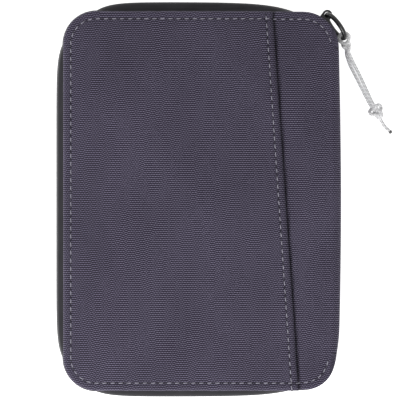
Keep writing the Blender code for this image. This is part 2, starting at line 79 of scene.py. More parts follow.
# Stitches
STITCH_PITCH = 3.1 * MM
STITCH_LENGTH = 1.9 * MM
THREAD = 0.155 * MM
STITCH_SLANT = math.radians(4.0)
NEEDLE_HOLE = (0.30 * MM, 0.26 * MM, 0.07 * MM)
HOLE_GAP = 0.16 * MM                # from a stitch's end to the middle of its needle hole
HOLE_LIFT = 0.02 * MM
SEAM_END_ANGLE = math.radians(8.0)

# Zip
BOW_TOP = 3.8 * MM
BOW_FORE_EDGE = 2.9 * MM
BOW_BOTTOM = 2.6 * MM
BOW_AT_FORE_CORNER = 0.6 * MM
BOW_AT_SPINE_CORNER = -1.5 * MM
FORE_RISE = 5.0 * MM                # distance over which the bow builds up from a fore corner
SPINE_RISE = 10.0 * MM              # and from a spine corner
TAPE = 0.5 * MM
TOOTH_PITCH = 1.3 * MM
TOOTH_WIRE = 0.27 * MM
TOOTH_RISE = 0.85 * MM              # middle of a tooth from the zip line, where the rows mesh
PARTED_RISE = 0.95 * MM             # and this much more where the slider has parted them
PARTED_LENGTH = 13.0 * MM
TOOTH_INSET = 0.86 * MM             # from the bowed edge in to the middle of a tooth
ZIP_END_ANGLE = math.radians(30.0)
TAPE_END_ANGLE = math.radians(-1.5)
TAPE_GAP = 1.35 * MM                # each tape edge stands this far from the zip line, less at its ends
FLANGE_DROP = 0.25 * MM             # the sewn edge of the tape lies this far under the cover's cloth
WALL_INSET = 0.85 * MM              # and its wall starts this far inside the cover's edge
TAPE_END_GAP = 0.15 * MM

# Weave pitches of the cloths, across and along the ribs
COVER_WEAVE = (1.03 * MM, 0.76 * MM)
LINING_WEAVE = (0.42 * MM, 0.38 * MM)

# Slider: plates inside and outside the coils at the corner, with a lug for the ring
SLIDER_ANGLE = math.radians(53.3)
SLIDER_PLATES = ((13.28 * MM, 13.9 * MM), (9.7 * MM, 10.4 * MM))
SLIDER_HEIGHT = 3.8 * MM
LUG_RADIUS = 1.95 * MM
LUG_HOLE = 1.1 * MM
LUG_FOOT = 13.4 * MM                # the lug's foot stands this far from the corner's centre
LUG_THICKNESS = 1.2 * MM
RING_TILT = math.radians(27.0)
RING_WIRE = 0.92 * MM               # the wire's radius
RING_HALF_WIDTH = 3.2 * MM

# Pull cord: close to the route of its solids, in millimetres
CORD_RADIUS = 0.7 * MM
UPPER_LEG_ROUTE = [(56.9, 57.4, 8.7), (57.7, 55.6, 7.6), (59.0, 52.9, 5.6), (61.1, 48.9, 3.6),
                   (63.6, 43.6, 2.6), (65.3, 39.8, 2.5), (66.4, 37.6, 2.7)]
LOWER_LEG_ROUTE = [(56.15, 57.0, 7.2), (56.65, 55.1, 6.0), (57.68, 52.3, 4.0), (59.65, 48.35, 2.1),
                   (62.3, 43.1, 1.0), (64.2, 39.3, 0.9), (65.4, 37.1, 1.2)]
TAIL_ROUTE = [(69.35, 31.6, 1.6), (69.9, 30.4, 1.2), (70.9, 28.9, 0.9), (72.0, 27.7, 0.8),
              (73.1, 26.8, 0.8)]
TIP_ROUTE = [(72.9, 26.95, 0.8), (73.3, 26.6, 0.8), (73.75, 26.3, 0.8)]
CORD_START = (67.0, 35.4, 2.2)
LOOP_SLACK = 0.32 * MM
BRAID_STRANDS = 8
BRAID_LAY = 3.4 * MM
BRAID_RELIEF = 0.085 * MM

# Camera, straight above
VIEW_WIDTH = 154.0 * MM
VIEW_CENTRE = (-0.47 * MM, 0.36 * MM)
CAMERA_HEIGHT = 4.0

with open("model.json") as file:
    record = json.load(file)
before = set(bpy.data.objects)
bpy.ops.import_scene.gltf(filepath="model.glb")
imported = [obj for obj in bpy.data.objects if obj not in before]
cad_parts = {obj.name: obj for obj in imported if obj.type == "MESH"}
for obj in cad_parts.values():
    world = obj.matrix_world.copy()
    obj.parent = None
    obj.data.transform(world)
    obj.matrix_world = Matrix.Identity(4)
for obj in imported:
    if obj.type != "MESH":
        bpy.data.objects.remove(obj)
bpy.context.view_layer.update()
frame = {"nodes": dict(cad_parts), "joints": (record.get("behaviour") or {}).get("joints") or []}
joints = {joint["name"]: joint for joint in frame["joints"]}

panel_low, panel_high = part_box("front_panel")
spine_low, spine_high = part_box("spine_panel")
HALF_WIDTH = -panel_low[0]
HALF_LENGTH = panel_high[1]
SPINE_X = spine_high[0]
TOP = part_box("front_slip_pocket")[1][2]
PANEL_TOP = panel_high[2]
MID_HEIGHT = TOP / 2
SPINE_CORNER_X = HALF_WIDTH - SPINE_CORNER
SPINE_CORNER_Y = HALF_LENGTH - SPINE_CORNER
FORE_CORNER_X = FORE_CORNER - HALF_WIDTH
FORE_CORNER_Y = HALF_LENGTH - FORE_CORNER

# The corners in the order the zip runs, as centre and radius, and the sides between them
CORNERS = [(SPINE_CORNER_X, SPINE_CORNER_Y, SPINE_CORNER), (FORE_CORNER_X, FORE_CORNER_Y, FORE_CORNER),
           (FORE_CORNER_X, -FORE_CORNER_Y, FORE_CORNER), (SPINE_CORNER_X, -SPINE_CORNER_Y, SPINE_CORNER)]
CORNER_BOWS = [(BOW_AT_SPINE_CORNER, SPINE_RISE), (BOW_AT_FORE_CORNER, FORE_RISE),
               (BOW_AT_FORE_CORNER, FORE_RISE), (BOW_AT_SPINE_CORNER, SPINE_RISE)]
SIDES = [((0, 1), BOW_TOP), ((-1, 0), BOW_FORE_EDGE), ((0, -1), BOW_BOTTOM)]


# ---------------------------------------------------------------- materials

class Shader:
    """A material with short ways to add the nodes that the cloths and metals share."""

    def __init__(self, name):
        self.material = bpy.data.materials.new(name)
        self.material.use_nodes = True
        self.tree = self.material.node_tree
        self.surface = self.tree.nodes["Principled BSDF"]

    def link(self, source, socket):
        if isinstance(source, bpy.types.NodeSocket):
            self.tree.links.new(source, socket)
        else:
            socket.default_value = source

    def math(self, operation, *values):
        node = self.tree.nodes.new("ShaderNodeMath")
        node.operation = operation
        for value, socket in zip(values, node.inputs):
            self.link(value, socket)
        return node.outputs[0]

    def mix(self, factor, first, second):
        node = self.tree.nodes.new("ShaderNodeMix")
        node.data_type = "RGBA"
        self.link(factor, node.inputs["Factor"])
        self.link(first, node.inputs[6])
        self.link(second, node.inputs[7])
        return node.outputs[2]

    def uv(self):
        """The cloth's own flat coordinates, in metres, as (across, along)."""
        coordinates = self.tree.nodes.new("ShaderNodeUVMap")
        coordinates.uv_map = "cloth"
        split = self.tree.nodes.new("ShaderNodeSeparateXYZ")
        self.link(coordinates.outputs[0], split.inputs[0])
        return coordinates.outputs[0], split.outputs[0], split.outputs[1]

    def object_position(self):
        return self.tree.nodes.new("ShaderNodeTexCoord").outputs["Object"]

    def noise(self, vector, scale, detail=2.0, distortion=0.0):
        """Noise from 0 to 1, at one scale or at a scale for each axis."""
        if isinstance(scale, tuple):
            vector, scale = self.stretched(vector, scale), 1.0
        node = self.tree.nodes.new("ShaderNodeTexNoise")
        self.link(vector, node.inputs["Vector"])
        node.inputs["Scale"].default_value = scale
        node.inputs["Detail"].default_value = detail
        node.inputs["Distortion"].default_value = distortion
        return node.outputs["Fac"]

    def stretched(self, vector, scale):
        node = self.tree.nodes.new("ShaderNodeVectorMath")
        node.operation = "MULTIPLY"
        self.link(vector, node.inputs[0])
        node.inputs[1].default_value = scale
        return node.outputs[0]

    def attribute(self, name):
        node = self.tree.nodes.new("ShaderNodeAttribute")
        node.attribute_name = name
        return node.outputs["Fac"]

    def bump(self, height, distance):
        node = self.tree.nodes.new("ShaderNodeBump")
        node.inputs["Distance"].default_value = distance
        self.link(height, node.inputs["Height"])
        self.link(node.outputs[0], self.surface.inputs["Normal"])

    def finish(self, **values):
        for name, value in values.items():
            self.surface.inputs[name.replace("_", " ")].default_value = value
        return self.material


def weave_height(shader, across, along, pitch):
    """Height of a plain weave, from 0 in the gaps to 1 on the raised yarns."""
    pitch_across, pitch_along = pitch
    row = shader.math("FLOOR", shader.math("ADD", shader.math("DIVIDE", along, pitch_along), 0.5))
    wave = shader.math("COSINE", shader.math("MULTIPLY", along, 2 * math.pi / pitch_along))
    rib = shader.math("POWER", shader.math("MULTIPLY_ADD", wave, 0.5, 0.5), 2.0)
    phase = shader.math("ADD", shader.math("MULTIPLY", across, 2 * math.pi / pitch_across),
                        shader.math("MULTIPLY", row, math.pi))
    dots = shader.math("MULTIPLY_ADD", shader.math("COSINE", phase), 0.5, 0.5)
    return shader.math("MULTIPLY", rib, shader.math("MULTIPLY_ADD", dots, 0.95, 0.35))


def cover_fabric():
    """Slate violet nylon: ribbed plain weave, slubs in the yarns, random patches, and painted light and
    shade by the tone attribute.
    """
    shader = Shader("cover_fabric")
    vector, across, along = shader.uv()
    wobble = shader.noise(vector, (60.0, 60.0, 0.0))
    bands = shader.noise(vector, (260.0, 42.0, 0.0), 1.0, distortion=0.8)
    drift = shader.math("ADD", shader.math("MULTIPLY", wobble, 0.6 * MM),
                        shader.math("MULTIPLY", bands, 1.5 * MM))
    weave = weave_height(shader, across, shader.math("ADD", drift, along), COVER_WEAVE)
    slub = shader.noise(vector, (300.0, 2600.0, 0.0))
    warp_slub = shader.noise(vector, (2200.0, 180.0, 0.0))
    yarns = shader.math("ADD", shader.math("MULTIPLY_ADD", slub, 0.35, 0.65),
                        shader.math("MULTIPLY", warp_slub, 0.35))
    height = shader.math("MULTIPLY", weave, yarns)
    color = shader.mix(height, (0.013, 0.010, 0.021, 1.0), (0.208, 0.187, 0.268, 1.0))
    patches = shader.noise(vector, (34.0, 26.0, 0.0), 3.0)
    # The tone attribute is painted light and shade: lighter on the rolled edges and round the spine,
    # darker along the seams and by the pocket's mouth. The patches vary at random.
    tone = shader.math("MULTIPLY", shader.attribute("tone"),
                       shader.math("MULTIPLY_ADD", patches, 0.55, 0.71))
    scaled = shader.tree.nodes.new("ShaderNodeVectorMath")
    scaled.operation = "SCALE"
    shader.link(color, scaled.inputs[0])
    shader.link(tone, scaled.inputs["Scale"])
    shader.link(scaled.outputs[0], shader.surface.inputs["Base Color"])
    shader.link(shader.math("MULTIPLY_ADD", height, -0.18, 0.86), shader.surface.inputs["Roughness"])
    shader.bump(height, 0.16 * MM)
    return shader.finish(Sheen_Weight=0.04, Sheen_Roughness=0.45, Specular_IOR_Level=0.12)


def plain_cloth(name, dark, light, pitch):
    """A finer plain weave for the lining, the pockets and their bindings."""
    shader = Shader(name)
    vector, across, along = shader.uv()
    weave = weave_height(shader, across, along, pitch)
    slub = shader.noise(vector, (500.0, 4000.0, 0.0))
    height = shader.math("ADD", weave, shader.math("MULTIPLY_ADD", slub, 0.5, -0.1))
    patches = shader.noise(vector, (50.0, 50.0, 0.0), 3.0)
    shade = shader.math("ADD", height, shader.math("MULTIPLY_ADD", patches, 0.4, -0.2))
    color = shader.mix(shade, (*dark, 1.0), (*light, 1.0))
    shader.link(color, shader.surface.inputs["Base Color"])
    shader.bump(height, 0.08 * MM)
    return shader.finish(Roughness=0.8, Sheen_Weight=0.1, Specular_IOR_Level=0.3)


def zip_tape_cloth():
    """Charcoal zip tape: a fine twill along the tape with paler rubbed patches at random, and a painted
    highlight, carried in the tone attribute, where the tape bows out.
    """
    shader = Shader("zip_tape")
    vector, along, across = shader.uv()
    twill = shader.math("SINE", shader.math("MULTIPLY", shader.math("ADD", along, across),
                                            2 * math.pi / (0.55 * MM)))
    chain = shader.math("SINE", shader.math("MULTIPLY", across, 2 * math.pi / (0.8 * MM)))
    height = shader.math("MULTIPLY_ADD", chain, 0.25, shader.math("MULTIPLY_ADD", twill, 0.2, 0.5))
    rub = shader.noise(vector, (120.0, 400.0, 0.0), 3.0)
    shade = shader.math("ADD", height, shader.math("MULTIPLY_ADD", rub, 0.5, -0.25))
    color = shader.mix(shade, (0.008, 0.008, 0.0095, 1.0), (0.042, 0.041, 0.047, 1.0))
    # Painted highlight: the tone attribute lightens the tape where it bows out towards the coil.
    color = shader.mix(shader.attribute("tone"), color, (0.20, 0.20, 0.205, 1.0))
    shader.link(color, shader.surface.inputs["Base Color"])
    shader.bump(height, 0.07 * MM)
    return shader.finish(Roughness=0.85, Sheen_Weight=0.2, Sheen_Roughness=0.25,
                         Specular_IOR_Level=0.1)


def thread_material():
    """Pale lavender grey sewing thread with a fine twist."""
    shader = Shader("thread")
    position = shader.object_position()
    twist = shader.noise(position, (2500.0, 900.0, 900.0))
    color = shader.mix(twist, (0.13, 0.125, 0.16, 1.0), (0.44, 0.42, 0.50, 1.0))
    shader.link(color, shader.surface.inputs["Base Color"])
    shader.bump(twist, 0.05 * MM)
    return shader.finish(Roughness=0.6, Sheen_Weight=0.2)


def speckled(name, dark, light, roughness, scale=900.0, bump=0.02 * MM, **values):
    """A moulded or painted surface with fine grain in its colour and gloss."""
    shader = Shader(name)
    position = shader.object_position()
    grain = shader.noise(position, scale, 3.0)
    shader.link(shader.mix(grain, (*dark, 1.0), (*light, 1.0)), shader.surface.inputs["Base Color"])
    shader.link(shader.math("MULTIPLY_ADD", grain, 0.2, roughness - 0.1),
                shader.surface.inputs["Roughness"])
    shader.bump(grain, bump)
    return shader.finish(**values)


def cord_material():
    """Light grey braid: pale crossing strands with painted shade in the grooves, and dark tracer flecks.
    """
    shader = Shader("cord_braid")
    vector, along, around = shader.uv()
    relief = shader.attribute("relief")
    turn = shader.math("ADD", shader.math("MULTIPLY", along, 2 * math.pi / BRAID_LAY),
                       shader.math("DIVIDE", around, CORD_RADIUS))
    helix = shader.math("COSINE", shader.math("MULTIPLY", turn, 2.0))
    fleck = shader.noise(vector, (900.0, 700.0, 0.0), 1.0)
    tracer = shader.math("GREATER_THAN", shader.math("MULTIPLY_ADD", fleck, 0.6, helix), 1.05)
    # Painted shade: the relief attribute darkens the braid's grooves.
    color = shader.mix(relief, (0.42, 0.42, 0.425, 1.0), (0.97, 0.97, 0.98, 1.0))
    color = shader.mix(shader.math("MULTIPLY", tracer, 0.32), color, (0.12, 0.12, 0.125, 1.0))
    shader.link(color, shader.surface.inputs["Base Color"])
    shader.bump(shader.noise(vector, (6000.0, 1500.0, 0.0)), 0.03 * MM)
    return shader.finish(Roughness=0.75, Sheen_Weight=0.2)


def make_materials():
    return {
        "cover": cover_fabric(),
        "tape": zip_tape_cloth(),
        "lining": plain_cloth("lining", (0.045, 0.045, 0.052), (0.15, 0.15, 0.165), LINING_WEAVE),
        "pocket": plain_cloth("pocket_cloth", (0.060, 0.056, 0.074), (0.20, 0.19, 0.235),
                              LINING_WEAVE),
        "binding": plain_cloth("binding", (0.016, 0.015, 0.020), (0.060, 0.058, 0.070),
                               (0.5 * MM, 0.4 * MM)),
        "thread": thread_material(),
        # Needle holes: near black caps that paint the shade in the holes.
        "hole": speckled("needle_hole", (0.008, 0.007, 0.012), (0.02, 0.018, 0.028), 0.9),
        "coil": speckled("zip_coil", (0.012, 0.012, 0.013), (0.03, 0.03, 0.032), 0.42),
        "metal": speckled("black_metal", (0.008, 0.008, 0.009), (0.018, 0.018, 0.020), 0.28,
                          scale=1500.0, bump=0.012 * MM, Coat_Weight=0.35, Coat_Roughness=0.12,
                          Specular_IOR_Level=0.6),
        "cord": cord_material(),
        "sealed": speckled("sealed_end", (0.03, 0.03, 0.03), (0.12, 0.12, 0.12), 0.45,
                           scale=2500.0, bump=0.05 * MM),
        "foam": speckled("foam", (0.22, 0.22, 0.23), (0.36, 0.36, 0.37), 0.92, scale=2200.0),
        "film": speckled("shielding_film", (0.55, 0.55, 0.57), (0.78, 0.78, 0.80), 0.35,
                         scale=600.0, Metallic=1.0),
        "board": speckled("spine_board", (0.08, 0.08, 0.08), (0.14, 0.14, 0.14), 0.7),
    }


# ---------------------------------------------------------------- mesh helpers

def new_mesh_object(name, vertices, faces, material):
    mesh = bpy.data.meshes.new(name)
    mesh.from_pydata([tuple(v) for v in vertices], [], [tuple(f) for f in faces])
    mesh.update()
    mesh.materials.append(material)
    mesh.shade_smooth()
    obj = bpy.data.objects.new(name, mesh)
    bpy.context.scene.collection.objects.link(obj)
    return obj


def set_uv(obj, uv_of_vertex):
    layer = obj.data.uv_layers.new(name="cloth")
    loops = np.empty(len(obj.data.loops), dtype=np.int64)
    obj.data.loops.foreach_get("vertex_index", loops)
    layer.data.foreach_set("uv", np.asarray(uv_of_vertex, dtype=np.float32)[loops].ravel())


def set_attribute(obj, name, values):
    attribute = obj.data.attributes.new(name, "FLOAT", "POINT")
    attribute.data.foreach_set("value", np.asarray(values, dtype=np.float32))


def apply_modifiers(obj):
    depsgraph = bpy.context.evaluated_depsgraph_get()
    mesh = bpy.data.meshes.new_from_object(obj.evaluated_get(depsgraph), depsgraph=depsgraph)
    obj.modifiers.clear()
    obj.data = mesh
    return obj


def thicken(obj, thickness, offset=-1.0):
    """Gives a sheet its thickness, behind its faces, or in front of them if offset is 1."""
    modifier = obj.modifiers.new("thickness", "SOLIDIFY")
    modifier.thickness = thickness
    modifier.offset = offset
    modifier.use_even_offset = False
    return apply_modifiers(obj)


def clustered(start, end, count, pull=0.72):
    """Values from start to end that crowd towards both ends."""
    shares = np.linspace(0.0, 1.0, count)
    shares = shares - pull * np.sin(2 * math.pi * shares) / (2 * math.pi)
    return start + (end - start) * shares


def unrolled(points, flat, axis):
    """Flat distances along one axis of a grid, made longer where the cloth climbs, from its middle."""
    steps = np.diff(points, axis=axis)
    lengths = np.hypot(steps[..., 1 - axis], steps[..., 2])
    extra = np.maximum(lengths - np.abs(np.diff(flat, axis=axis)), 0.0)
    grown = flat + np.insert(np.cumsum(extra, axis=axis), 0, 0.0, axis=axis)
    middle = flat.shape[axis] // 2
    return grown - np.take(grown - flat, [middle], axis=axis)


def grid_faces(rows, columns, flip):
    """Quads between the points of a grid; flip turns them to face the other way."""
    faces = []
    for r in range(rows - 1):
        for c in range(columns - 1):
            a = r * columns + c
            quad = (a, a + 1, a + columns + 1, a + columns)
            faces.append(quad[::-1] if flip else quad)
    return faces


def cloth_grid(name, rows, counts, span, place, material, thickness, flip=False):
    """Cloth in rows along y. span(y) gives the flat distances that bound each run of columns, counts
    the columns in each run, and place(u, y) the point and tone at a flat distance."""
    vertices, flats, tones = [], [], []
    columns = sum(counts) - len(counts) + 1
    for y in rows:
        bounds = span(y)
        runs = [clustered(a, b, count) for a, b, count in zip(bounds, bounds[1:], counts)]
        for u in np.concatenate([run[:-1] for run in runs] + [runs[-1][-1:]]):
            point, tone = place(u, y)
            vertices.append(point)
            flats.append((u, y))
            tones.append(tone)
    points = np.array(vertices).reshape(len(rows), columns, 3)
    flats = np.array(flats).reshape(len(rows), columns, 2)
    uvs = np.stack([unrolled(points, flats[..., 0], 1), unrolled(points, flats[..., 1], 0)], axis=-1)
    obj = new_mesh_object(name, vertices, grid_faces(len(rows), columns, flip), material)
    set_uv(obj, uvs.reshape(-1, 2))
    set_attribute(obj, "tone", tones)
    return thicken(obj, thickness)


def frames_along(points, closed=False):
    """Tangent and two cross directions at each point, turned as little as possible."""
    count = len(points)
    tangents = []
    for i in range(count):
        before = points[i - 1] if closed or i > 0 else points[0]
        after = points[(i + 1) % count] if closed or i < count - 1 else points[-1]
        tangents.append((after - before).normalized())
    side = tangents[0].orthogonal().normalized()
    sides = []
    for tangent in tangents:
        side = (side - side.dot(tangent) * tangent).normalized()
        sides.append(side)
    return [(t, s, t.cross(s)) for t, s in zip(tangents, sides)]


def walked_lengths(points):
    lengths = [0.0]
    for a, b in zip(points, points[1:]):
        lengths.append(lengths[-1] + (b - a).length)
    return lengths


def tube_mesh(name, points, radius_at, sides, material, closed=False):
    """A tube whose radius may change round it and along it; radius_at(angle, length) gives it."""
    count = len(points)
    lengths = walked_lengths(points)
    vertices, uvs, reliefs = [], [], []
    for point, length, (_, side, up) in zip(points, lengths, frames_along(points, closed)):
        for k in range(sides):
            angle = 2 * math.pi * k / sides
            radius, relief = radius_at(angle, length)
            vertices.append(point + radius * (math.cos(angle) * side + math.sin(angle) * up))
            uvs.append((length, angle * CORD_RADIUS))
            reliefs.append(relief)
    faces = []
    for i in range(count if closed else count - 1):
        j = (i + 1) % count
        for k in range(sides):
            m = (k + 1) % sides
            faces.append((i * sides + k, j * sides + k, j * sides + m, i * sides + m)[::-1])
    if not closed:
        faces.append(tuple(range(sides))[::-1])
        faces.append(tuple((count - 1) * sides + k for k in range(sides)))
    obj = new_mesh_object(name, vertices, faces, material)
    set_uv(obj, uvs)
    set_attribute(obj, "relief", reliefs)
    fixer = bmesh.new()
    fixer.from_mesh(obj.data)
    bmesh.ops.recalc_face_normals(fixer, faces=fixer.faces)
    fixer.to_mesh(obj.data)
    fixer.free()
    return obj


def attach(piece, body, slot, *nodes):
    """Fixes a piece to a body and hides the solids it stands for. The slot is not used."""
    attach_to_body(piece, body)
    if nodes:
        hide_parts(*nodes)


def metres(route):
    """Points given in millimetres, as vectors in metres."""
    return [Vector(point) * MM for point in route]


def smooth_route(points, step):
    """Points about a step apart on a Catmull-Rom curve through the given points."""
    guides = [2 * points[0] - points[1]] + list(points) + [2 * points[-1] - points[-2]]
    smooth = []
    for before, start, end, after in zip(guides, guides[1:], guides[2:], guides[3:]):
        count = max(2, round((end - start).length / step))
        for i in range(count):
            t = i / count
            smooth.append(0.5 * (2 * start + (end - before) * t
                                 + (2 * before - 5 * start + 4 * end - after) * t * t
                                 + (3 * start - before - 3 * end + after) * t ** 3))
    return smooth + [points[-1]]


def ease(value, start, end):
    """0 below start, 1 above end, and smooth between them."""
    share = min(1.0, max(0.0, (value - start) / (end - start)))
    return share * share * (3 - 2 * share)


def wrinkle(x, y, scale, seed):
    return noise.noise(Vector((x / scale, y / scale, seed)))


# ---------------------------------------------------------------- outline and seams

def left_edge(y, inset=0.0):
    beyond = abs(y) - FORE_CORNER_Y
    radius = FORE_CORNER - inset
    if beyond <= 0:
        return -HALF_WIDTH + inset
    return FORE_CORNER_X - math.sqrt(max(0.0, radius * radius - beyond * beyond))


def right_edge(y, inset=0.0):
    """The outline beside the spine, which is straight except at the two corners."""
    beyond = abs(y) - SPINE_CORNER_Y
    radius = SPINE_CORNER - inset
    if beyond <= 0:
        return HALF_WIDTH - inset
    return SPINE_CORNER_X + math.sqrt(max(0.0, radius * radius - beyond * beyond))


def seam_distance(x, y):
    """Distance from the fabric edge that is sewn to the zip, and how strongly the seam shows."""
    height = abs(y)
    if x < FORE_CORNER_X and height > FORE_CORNER_Y:
        return FORE_CORNER - math.hypot(x - FORE_CORNER_X, height - FORE_CORNER_Y), 1.0
    if x > SPINE_CORNER_X and height > SPINE_CORNER_Y:
        across, up = x - SPINE_CORNER_X, height - SPINE_CORNER_Y
        shown = ease(math.atan2(up, across), 0.0, math.radians(35.0))
        return SPINE_CORNER - math.hypot(across, up), shown
    return min(x + HALF_WIDTH, HALF_LENGTH - height), 1.0


def seam_shape(distance):
    """Height of the cloth near its sewn edge: a rolled edge, a bead and the dip of the stitches."""
    if distance < EDGE_ROLL:
        rolled = 1.0 - max(0.0, distance) / EDGE_ROLL
        edge = -EDGE_ROLL * (1.0 - math.sqrt(max(0.0, 1.0 - rolled * rolled)))
    else:
        edge = 0.0
    dip = SEAM_DIP * math.exp(-((distance - SEAM_INSET) / (0.75 * MM)) ** 2)
    settle = -0.12 * MM * (1.0 - ease(distance, SEAM_INSET, 3 * SEAM_INSET))
    return edge - dip + settle


def spine_roll(u, y, outer_face, inwards):
    """Wraps flat distance u round the spine; returns x, z and how far round the roll it is."""
    outer_x = spine_outer_x(y)
    start = outer_x - SPINE_ROLL
    if u <= start:
        return u, outer_face, 0.0
    angle = (u - start) / SPINE_ROLL
    if angle < math.pi / 2:
        x = start + SPINE_ROLL * math.sin(angle)
        z = outer_face + inwards * SPINE_ROLL * (1 - math.cos(angle))
        return x, z, angle / (math.pi / 2)
    down = SPINE_ROLL + (angle - math.pi / 2) * SPINE_ROLL
    return outer_x, outer_face + inwards * down, 1.0


def spine_outer_x(y):
    return SPINE_X - SPINE_BULGE * (1.0 - math.cos(0.5 * math.pi * min(1.0, abs(y) / SPINE_CORNER_Y)))


def cover_span(y, outer_face):
    """Flat distances across a cover's cloth: fore edge, start of the spine roll, and end."""
    start = spine_outer_x(y) - SPINE_ROLL
    end = flat_end(y, outer_face)
    return left_edge(y), min(start, end - 0.3 * MM), end


def flat_end(y, outer_face):
    """Flat distance at which a row of cover cloth ends: mid spine, or its outline at a corner."""
    start = spine_outer_x(y) - SPINE_ROLL
    side = SPINE_ROLL * math.pi / 2
    to_middle = start + side + abs(MID_HEIGHT - outer_face) - SPINE_ROLL
    reach = right_edge(y) - start
    if abs(y) <= SPINE_CORNER_Y:
        share = ease(abs(y), SPINE_CORNER_Y - SPINE_END_FOLD, SPINE_CORNER_Y)
        corner = start + SPINE_ROLL * math.asin(min(1.0, (HALF_WIDTH - start) / SPINE_ROLL))
        return to_middle + (corner - to_middle) * share
    if reach <= 0:
        return right_edge(y)
    return start + SPINE_ROLL * math.asin(min(1.0, reach / SPINE_ROLL))


def corner_tuck(x, y):
    """How far the cloth is drawn in at the spine corner away from the slider."""
    along = math.exp(-((y + TUCK_PLACE) / TUCK_LENGTH) ** 2)
    return TUCK * along * ease(x, SPINE_X - 22 * MM, SPINE_X)


def cover_surface(u, y, outer_face, inwards, crown):
    """A point of a cover's outer cloth with its tone, which holds painted light and shade."""
    x, z, turned = spine_roll(u, y, outer_face, inwards)
    distance, shown = seam_distance(min(x, u), y)
    flat = 1.0 - turned
    lift = shown * seam_shape(distance) + crown * ease(distance, SEAM_INSET, CROWN_REACH)
    lift += crown * 0.35 * wrinkle(x, y, 30 * MM, 1.0) * ease(distance, 2 * MM, 14 * MM)
    spine_fall = -SPINE_FALL * ease(x, SPINE_X - 14 * MM, SPINE_X - 3 * MM)
    z -= inwards * flat * (lift + spine_fall * (crown > 0))
    # Painted highlight on the rolled edge, painted shade in the dip of the stitches, and painted light
    # round the spine roll.
    tone = 1.0 + 0.16 * math.exp(-(max(0.0, distance) / (0.8 * MM)) ** 2) * shown
    tone -= 0.16 * math.exp(-((distance - SEAM_INSET) / (0.5 * MM)) ** 2) * shown
    tone += 0.12 * turned
    return (x - corner_tuck(x, y), y, z), tone


def front_surface(u, y):
    (x, y, z), tone = cover_surface(u, y, PANEL_TOP, -1.0, CROWN)
    mouth_gap = x - mouth_x(y)
    groove = math.exp(-(mouth_gap / (1.1 * MM)) ** 2)
    # Painted shadow on the front's cloth along the pocket's mouth, carried in the tone.
    shade = ease(mouth_gap, -1.0 * MM, 0.1 * MM) * (1.0 - ease(mouth_gap, 0.3 * MM, 1.3 * MM))
    return (x, y, z - MOUTH_GROOVE * groove), tone * (1.0 - 0.74 * shade)


def back_surface(u, y):
    return cover_surface(u, y, 0.0, 1.0, 0.0)


def mouth_x(y):
    share = (HALF_LENGTH - y) / (2 * HALF_LENGTH)
    return MOUTH_TOP_X + (MOUTH_BOTTOM_X - MOUTH_TOP_X) * share


def pocket_surface(u, y):
    """A point of the slip pocket: it lies on the front, stands proud at its hemmed mouth."""
    base, tone = cover_surface(min(u, mouth_x(y)), y, PANEL_TOP, -1.0, CROWN)
    distance, _ = seam_distance(u, y)
    from_mouth = mouth_x(y) - u
    rise = POCKET_EDGE_RISE + (POCKET_RISE - POCKET_EDGE_RISE) * ease(distance, 0.0, 7 * MM)
    rise += MOUTH_PUFF * (1.0 - ease(from_mouth, 0.5 * MM, 5 * MM)) * ease(distance, 2 * MM, 8 * MM)
    rise -= HEM_DIP * math.exp(-((from_mouth - HEM_INSET) / (0.6 * MM)) ** 2)
    rolled = 1.0 - min(1.0, from_mouth / (0.55 * MM))
    rise -= 0.5 * MM * (1.0 - math.sqrt(max(0.0, 1.0 - rolled * rolled)))
    ripple = 0.10 * MM * wrinkle(u, y, 16 * MM, 7.0) * ease(distance, 2 * MM, 10 * MM)
    # Painted shade: the hem strip, the cloth just inside the mouth and the hem's stitch line are darkened
    # in the tone.
    hem = 1.0 - ease(from_mouth, HEM_INSET - 0.4 * MM, HEM_INSET + 0.6 * MM)
    tone = tone * (1.0 - 0.10 * hem - 0.22 * (1.0 - ease(from_mouth, 0.3 * MM, 1.8 * MM)))
    tone -= 0.16 * math.exp(-((from_mouth - HEM_INSET) / (0.45 * MM)) ** 2)
    return (base[0] * POCKET_SPREAD, y * POCKET_SPREAD, base[2] + rise + ripple), tone


# ---------------------------------------------------------------- stitches

CAPSULE_RINGS = 7
CAPSULE_SIDES = 8


def capsule_template():
    """A rounded bar along X, one unit half length, one unit radius."""
    vertices, faces = [], []
    for i in range(CAPSULE_RINGS):
        share = -1.0 + 2.0 * i / (CAPSULE_RINGS - 1)
        radius = math.sqrt(max(0.02, 1.0 - abs(share) ** 3))
        for k in range(CAPSULE_SIDES):
            angle = 2 * math.pi * k / CAPSULE_SIDES
            vertices.append((share, radius * math.cos(angle), radius * math.sin(angle)))
    for i in range(CAPSULE_RINGS - 1):
        for k in range(CAPSULE_SIDES):
            m = (k + 1) % CAPSULE_SIDES
            a, b = i * CAPSULE_SIDES, (i + 1) * CAPSULE_SIDES
            faces.append((a + k, b + k, b + m, a + m))
    faces.append(tuple(range(CAPSULE_SIDES)))
    faces.append(tuple((CAPSULE_RINGS - 1) * CAPSULE_SIDES + k for k in range(CAPSULE_SIDES))[::-1])
    return np.array(vertices), faces


def stamp(name, template, placements, material):
    """One mesh with a copy of the template at each 3 by 4 placement."""
    vertices, faces = template
    all_vertices, all_faces = [], []
    for placement in placements:
        start = len(all_vertices) * len(vertices)
        all_vertices.append(vertices @ placement[:, :3].T + placement[:, 3])
        all_faces.extend(tuple(start + i for i in face) for face in faces)
    return new_mesh_object(name, np.concatenate(all_vertices), all_faces, material)


def placement_from(centre, along, up, sizes):
    along = Vector(along).normalized()
    across = Vector(up).cross(along).normalized()
    up = along.cross(across)
    columns = [along * sizes[0], across * sizes[1], up * sizes[2], Vector(centre)]
    return np.array([[column[i] for column in columns] for i in range(3)])


